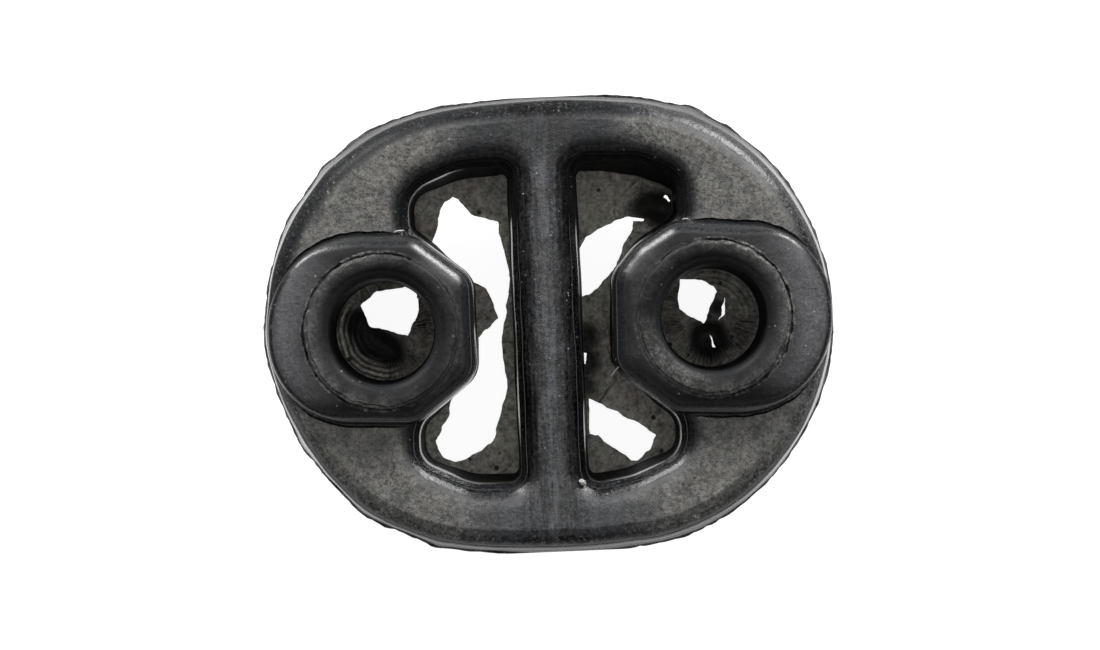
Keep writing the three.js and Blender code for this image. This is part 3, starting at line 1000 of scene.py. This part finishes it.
def rubber_material(settings):
    """Black rubber: bloomed faces, rubbed edges, dull torn film, flakes, dust and fine grain, with
    painted shade and painted highlights.

    Bounds on places are in millimetres, and bounds on patterns are shares.
    """
    finish = Finish("moulded_rubber")

    # Coordinates in millimetres, and how far the surface faces up or down
    object_place = finish.node("ShaderNodeTexCoord", output=3)
    facing = finish.node("ShaderNodeTexCoord", output=1)
    place = finish.node("ShaderNodeMapping", None, {"Vector": object_place, "Scale": (1 / MM,) * 3})
    side, along, height = (finish.part(place, axis) for axis in range(3))
    across = abs(side)
    level = abs(height)
    upward = abs(finish.part(facing, 2))
    past_bore = across - BORE_X / MM
    from_bore = (past_bore ** 2 + along ** 2) ** 0.5
    end_x = (HALF_LENGTH - HALF_WIDTH) / MM
    outward = (((across - end_x) | 0.0) ** 2 + along ** 2) ** 0.5
    stretched = finish.node("ShaderNodeMapping", None, {"Vector": place, "Scale": (1.0, 0.1, 1.0)})

    # Patterns, from broad clouds to fine grain
    broad = finish.noise(place, 0.14, 3.0, 0.55)
    cloudy = finish.noise(place, 0.5, 5.0, 0.65)
    mottle = finish.noise(place, 1.2, 5.0, 0.7)
    grain = finish.noise(place, 2.4, 4.0, 0.8)
    fine = finish.noise(place, 5.0, 2.0, 0.7)
    streaks = finish.noise(stretched, 1.6, 4.0, 0.7)
    swirl = finish.noise(place, 0.4, 3.0, 0.6, distortion=2.2)
    speckle = grain.between(0.28, 0.72)

    # Places on the moulding
    flat = upward.between(0.84, 0.97)
    edge = upward.band(0.55, 0.9, 0.1)
    boss = level.between(14.1, 14.4)
    outside = outward.between(21.2, 21.8)
    film = (1 - height.between(0.75, 1.05)) * height.between(-3.9, -3.5) * (1 - outside)
    # Where the film sags, for painted shade
    painted_sag_shade = (-height).between(0.1, 1.8)
    lip = level.band(10.0, 12.2, 0.2) * (1 - upward.between(0.4, 0.7))
    pale = finish.node("ShaderNodeAttribute", {"attribute_name": "pale"}, None, 2)
    bore_wall = level.band(9.0, 16.4, 0.5) * (1 - from_bore.between(5.95, 6.1))
    wall = (1 - level.between(9.6, 10.1)) * (1 - film) * (1 - outside) | bore_wall
    quarter = (across + 5.0 * (broad - 0.5)).between(6.5, 12.0)
    bar = 1 - across.between(2.6, 4.4)
    # Middle line of the web, where a painted highlight goes
    middle = 1 - (across + 0.8 * (cloudy - 0.5)).between(0.2, 1.1)
    # Towards each boss's outer end, where the bosses are painted lighter as a painted highlight
    far = past_bore.between(4.0, 12.0)
    collar_top = level.between(16.2, 16.8)
    ring = from_bore.between(6.6, 8.5) * (1 - from_bore.between(8.6, 8.9)) * collar_top
    ring_edge = from_bore.band(8.2, 8.8, 0.2) * collar_top
    beyond = past_bore.between(-4.0, 3.0)
    # Paler speckled patch at the lower left of the right collar
    lower_left = (-side - along).between(-13.0, -6.0) * side.between(0.0, 1.0)
    pale_patch = from_bore.band(6.4, 8.6, 0.3) * collar_top * lower_left

    # Painted shade and dull places: colour darkened as painted shade in the walls, on the upper rims,
    # round the face's edge and at its top, and reflection dulled there and on boss flanks, collar bells
    # and the outer wall
    upper_right = (0.64 * side + 0.77 * along).between(23.0, 26.0)
    # Lower part of the outer wall, where bloom is spread further down as painted light
    lower = outside * (1 - along.between(-12.0, 4.0))
    outer = outside * (1 - level.between(12.0, 13.0))
    # Painted shade on the rounded edge of the face, left out at the upper right and weaker towards the
    # bottom
    painted_edge_shade = outward.between(22.0, 23.3) * level.between(11.9, 12.1) * (1 - upper_right)
    painted_edge_shade = painted_edge_shade * (0.12 + 0.88 * along.between(-9.0, 8.0))
    # Upper half of the outer wall, with flakes and painted light growing towards the top
    ridge_flakes_and_painted_light = outer * level.between(6.0, 11.0) * along.between(0.0, 22.0)
    top_rims = side.between(-10.5, -8.0) * level.band(9.3, 12.75, 0.1) | level.band(12.4, 13.15, 0.1)
    top_rims = top_rims * along.between(10.5, 12.5) * (1 - outside)
    # Painted shade at the top of the face between the pockets
    painted_top_shade = along.between(14.0, 21.0) * (1 - quarter)
    flank = boss * upward.between(0.86, 0.93) * (0.38 + 0.55 * abs(along).between(6.5, 8.5))
    bell = level.between(14.5, 15.5) * (1 - from_bore.between(8.3, 8.6))
    dulled = outer * (0.12 + 0.6 * abs(along).between(14.0, 22.0))
    deep = wall | top_rims | (painted_edge_shade * 0.9) | flank | (bell * 0.85)
    deep = deep | dulled | (flat * painted_top_shade * (1 - bar) * 0.3)

    # Skin: grey and bluish bloom on the faces, less of it at the top and round the edge as painted shade
    # and more on the lower outer wall as painted light; purplish bosses, painted lighter towards their
    # outer ends as a painted highlight; and streaks on the web, with a painted highlight along its
    # middle
    # Bloom spread further down the lower outer wall as painted light
    bloomed = upward.between(0.84 - 0.34 * lower, 0.97)
    bloomed = bloomed * level.between(13.5 - 2.2 * lower, 13.95 - 0.6 * lower)
    # Less bloom at the top of the face and round its edge, as painted shade
    bloom_and_painted_light = bloomed * (1 - boss) * (1 - 0.85 * painted_top_shade) * (1 - 0.85 * painted_edge_shade)
    bloom_and_painted_light = bloom_and_painted_light * (0.35 + 1.1 * cloudy.between(0.25, 0.75)) * (0.7 + 0.6 * broad)
    bloom_shade = finish.mix(quarter, opaque(settings.sheen), opaque(settings.bloom_and_painted_light))
    skin = finish.mix(bloom_and_painted_light, opaque(settings.rubber), bloom_shade)
    # Bosses painted lighter towards their outer ends, as a painted highlight
    collar = finish.tint(tuple(settings.collar), 0.7 + 4.8 * far + 2.0 * (cloudy - 0.5))
    skin = finish.mix(boss * flat, skin, collar)
    # Streaks on the web, with a painted highlight along its middle
    streaks_and_painted_highlight = bar * (6.5 * (streaks - 0.5) + 0.8 * middle - 0.65)
    skin = finish.tint(skin, 1 + (1.8 - boss) * (speckle - 0.5) + 1.6 * (fine - 0.5) + streaks_and_painted_highlight)

    # Torn film: olive with stains, worked, and darkened as painted shade where it sags and in the bores;
    # painted light and shade on the arcs in the left bore; and pits
    torn = finish.mix(broad.between(0.45, 0.6), opaque(settings.film), opaque(settings.stain))
    in_bore = 1 - from_bore.between(5.4, 6.0)
    worked = 0.15 + 0.95 * mottle.between(0.25, 0.75) + 0.5 * speckle + 1.4 * (swirl - 0.4)
    # Painted shade where the film sags, and a little in the bores
    torn = finish.tint(torn, worked * (1 - 0.95 * painted_sag_shade) * (1 - 0.2 * in_bore))
    # Painted light and shade on the arcs in the left bore
    arcs = in_bore * (0.82 * (-side - BORE_X / MM) - 0.57 * along).between(0.5, 3.0)
    painted_arc_shading = from_bore * (2 * math.pi / ARC_SPACING) + 7.0 * (cloudy - 0.5) + 9.0 * (broad - 0.5)
    torn = finish.tint(torn, 1 + arcs * (painted_arc_shading.cosine() + 0.25))
    pits = finish.spots(place, 0.42, 0.17) * mottle.between(0.4, 0.5)
    torn = finish.mix(pits, torn, opaque(settings.rubber))
    base = finish.mix(film, skin, torn)
    # Painted shade in the pocket and bore walls and on the upper rims
    base = finish.tint(base, 1 - 0.6 * (wall | top_rims))

    # Flakes on collars and edges, a paler patch on the right collar, painted light among the flakes of
    # the upper outer wall, dust specks, and the pale threads and nibs, the nibs painted pale as painted
    # highlights
    flakes_and_painted_light = ring * (0.05 + 0.14 * cloudy.between(0.35, 0.65)) * (0.4 + 1.2 * speckle)
    flakes_and_painted_light = flakes_and_painted_light * (0.35 + 0.65 * beyond)
    chipped = ring_edge * (0.15 + 0.85 * beyond) * mottle.between(0.42, 0.62)
    flakes_and_painted_light = flakes_and_painted_light | (chipped * (0.1 + 0.5 * speckle))
    flakes_and_painted_light = flakes_and_painted_light | (pale_patch * (0.1 + 0.24 * mottle.between(0.4, 0.7)) * (0.4 + 0.9 * speckle))
    flakes_and_painted_light = flakes_and_painted_light | (grain.between(0.60, 0.68) * mottle.between(0.45, 0.6) * edge * outside * 0.5)
    flakes_and_painted_light = flakes_and_painted_light | (grain.between(0.56, 0.68) * mottle.between(0.45, 0.6) * outer * 0.12)
    # Painted light among the flakes of the upper outer wall
    flakes_and_painted_light = flakes_and_painted_light | (ridge_flakes_and_painted_light * (0.04 + 0.14 * speckle) * mottle.between(0.3, 0.6))
    specks = finish.spots(place, 0.9, 0.12) * cloudy.between(0.48, 0.6) * (1 - film)
    base = finish.mix(flakes_and_painted_light | (specks * 0.6) | pale, base, opaque(settings.dust_and_painted_highlight))

    # Gloss and relief
    matt = flat * (0.55 + 0.45 * (quarter | boss)) | film
    grainy = (speckle - 0.5) * (1 - (lip | ((1 - flat) * 0.6)))
    roughness = (
        settings.gloss + (settings.matt - settings.gloss) * matt
        + 0.3 * grainy + flakes_and_painted_light * 0.2 - 0.1 * lip + 0.2 * bell + 0.05 * boss
    )
    relief = (
        finish.noise(place, 0.3, 2.0, 0.5) * 0.3 + cloudy * 0.16 + grain * 0.12 + fine * 0.03
        + bar * streaks * 0.12 + film * mottle * 0.25 + flakes_and_painted_light * 0.15 - pits * film * 0.15
    ) * (1 - 0.85 * lip) * (1 - (0.6 + 0.2 * boss) * edge)
    bump = finish.node("ShaderNodeBump", None, {"Strength": 1.0, "Distance": MM, "Height": relief})
    glossy = finish.node(
        "ShaderNodeBsdfPrincipled", None,
        {"Base Color": base, "Roughness": roughness, "Normal": bump, "IOR": RUBBER_IOR},
    )
    dull = finish.node(
        "ShaderNodeBsdfPrincipled", None,
        {
            "Base Color": base, "Roughness": DULL_ROUGHNESS, "Normal": bump, "IOR": RUBBER_IOR,
            "Specular IOR Level": DULL_SPECULAR,
        },
    )
    return finish.output(finish.node("ShaderNodeMixShader", None, {0: deep * 0.92, 1: glossy, 2: dull}))


def paper_material(settings):
    """Pale paper that keeps a faint shadow and shows white behind the hanger."""
    finish = Finish("pale_paper")
    seen = finish.node("ShaderNodeLightPath", output=0)
    mirrored = finish.node("ShaderNodeLightPath", output=3)
    through = finish.node("ShaderNodeLightPath", output=6)
    matt = finish.node("ShaderNodeBsdfDiffuse", None, {"Color": (0.35, 0.35, 0.35, 1.0)})
    strength = (seen * settings.paper) | ((mirrored | through) * settings.paper_mirrored)
    glow = finish.node("ShaderNodeEmission", None, {"Color": (1.0, 1.0, 1.0, 1.0), "Strength": strength})
    surface = finish.node("ShaderNodeAddShader", None, {0: matt, 1: glow})
    return finish.output(surface)


class HANGER_OT_moulding(bpy.types.Operator):
    """Finishes the moulding: smooth shading with crisp edges, and the rubber"""

    bl_idname = "hanger.moulding"
    bl_label = "Finish the moulding"

    def execute(self, context):
        moulding = bpy.data.objects[MOULDING]
        bm = bmesh.new()
        bm.from_mesh(moulding.data)
        bmesh.ops.remove_doubles(bm, verts=bm.verts[:], dist=TINY)
        bmesh.ops.dissolve_limit(
            bm, angle_limit=math.radians(FLAT_ANGLE), use_dissolve_boundaries=False, verts=bm.verts[:],
            edges=bm.edges[:], delimit=set(),
        )
        for face in bm.faces:
            face.smooth = True
            face.material_index = 0
        self.strays(bm)
        crisp = math.radians(CRISP_ANGLE)
        for edge in bm.edges:
            edge.smooth = len(edge.link_faces) == 2 and edge.calc_face_angle(0.0) < crisp
        bm.to_mesh(moulding.data)
        bm.free()
        moulding.data.materials.clear()
        moulding.data.materials.append(rubber_material(context.scene.hanger_finish))
        weighted = moulding.modifiers.new("weighted", "WEIGHTED_NORMAL")
        weighted.keep_sharp = True
        weighted.weight = 80
        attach(moulding, "root")
        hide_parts(NODE)
        return {"FINISHED"}

    def strays(self, bm):
        """Adds threads and nibs of flash, marked as pale; the pale nibs stand as painted highlights."""
        pale = bm.verts.layers.float.new("pale")
        for foot, tip in THREADS:
            run = (Vector(tip) - Vector(foot)) * MM
            turned = run.to_track_quat("Z", "Y").to_matrix().to_4x4()
            placing = Matrix.Translation(Vector(foot) * MM + run / 2) @ turned
            thread = bmesh.ops.create_cone(
                bm, cap_ends=True, cap_tris=True, segments=8, radius1=THREAD_RADII[0],
                radius2=THREAD_RADII[1], depth=run.length, matrix=placing,
            )["verts"]
            for vert in thread:
                vert[pale] = 1.0
        for place, half_length, half_width, turn in NIBS:
            turned = Matrix.Rotation(math.radians(turn), 4, "Z")
            shape = Matrix.Diagonal((half_length, half_width, NIB_HEIGHT, 1.0))
            placing = Matrix.Translation(Vector(place) * MM) @ turned @ shape
            nib = bmesh.ops.create_icosphere(bm, subdivisions=1, radius=MM, matrix=placing)["verts"]
            for vert in nib:
                vert[pale] = 1.0


class HANGER_OT_stage(bpy.types.Operator):
    """Sets the camera over the hanger, the softboxes and the white paper"""

    bl_idname = "hanger.stage"
    bl_label = "Stage"

    def execute(self, context):
        settings = context.scene.hanger_stage
        self.camera(context, settings)
        self.paper(context, settings)
        for name, (place, size, spread) in SOFTBOXES.items():
            self.softbox(context, name, place, size, getattr(settings, name), spread)
        world = bpy.data.worlds.new("surroundings")
        world.use_nodes = True
        background = world.node_tree.nodes["Background"]
        background.inputs["Color"].default_value = (1.0, 1.0, 1.0, 1.0)
        background.inputs["Strength"].default_value = settings.surround
        context.scene.world = world
        context.scene.view_settings.view_transform = "Standard"
        return {"FINISHED"}

    def camera(self, context, settings):
        """Camera straight above, rolled so that the hanger stands as it was laid."""
        data = bpy.data.cameras.new("camera")
        data.sensor_width = 36.0
        data.lens = data.sensor_width * settings.camera_height / settings.picture_width
        data.clip_start = 0.01
        data.clip_end = 20.0
        camera = bpy.data.objects.new("camera", data)
        camera.location = (settings.aim_x, settings.aim_y, settings.camera_height)
        camera.rotation_euler = (0.0, 0.0, -settings.roll)
        context.scene.collection.objects.link(camera)
        context.scene.camera = camera

    def paper(self, context, settings):
        """Round sheet of white paper that the rear collars lie on."""
        bm = bmesh.new()
        bmesh.ops.create_circle(bm, cap_ends=True, segments=96, radius=6.0)
        move(bm, z=-CREST_HEIGHT)
        paper = to_object(bm, "paper")
        paper.data.materials.append(paper_material(settings))

    def softbox(self, context, name, place, size, watts, spread):
        """Softbox that faces the hanger."""
        data = bpy.data.lights.new(name, "AREA")
        data.shape = "RECTANGLE"
        data.size, data.size_y = size
        data.energy = watts
        data.spread = math.radians(spread)
        lamp = bpy.data.objects.new(name, data)
        lamp.location = place
        lamp.rotation_euler = (-Vector(place)).to_track_quat("-Z", "Y").to_euler()
        context.scene.collection.objects.link(lamp)


STEPS = ("block", "bosses", "films", "moulding", "stage")


class HANGER_PT_panel(bpy.types.Panel):
    """Lists the steps in the 3D view's sidebar"""

    bl_idname = "HANGER_PT_panel"
    bl_label = "Exhaust Hanger"
    bl_space_type = "VIEW_3D"
    bl_region_type = "UI"
    bl_category = "Hanger"

    def draw(self, context):
        for step in STEPS:
            self.layout.operator(f"hanger.{step}")


CLASSES = (
    HangerSizes,
    HangerFinish,
    HangerStage,
    HANGER_OT_block,
    HANGER_OT_bosses,
    HANGER_OT_films,
    HANGER_OT_moulding,
    HANGER_OT_stage,
    HANGER_PT_panel,
)


def register():
    """Registers the classes, and the settings on each scene."""
    for cls in CLASSES:
        bpy.utils.register_class(cls)
    bpy.types.Scene.hanger_sizes = PointerProperty(type=HangerSizes)
    bpy.types.Scene.hanger_finish = PointerProperty(type=HangerFinish)
    bpy.types.Scene.hanger_stage = PointerProperty(type=HangerStage)


def unregister():
    """Takes the settings and the classes away again."""
    del bpy.types.Scene.hanger_stage
    del bpy.types.Scene.hanger_finish
    del bpy.types.Scene.hanger_sizes
    for cls in reversed(CLASSES):
        bpy.utils.unregister_class(cls)


def main():
    """Builds the hanger and its stage."""
    register()
    for step in STEPS:
        getattr(bpy.ops.hanger, step)()


if __name__ == "__main__":
    main()
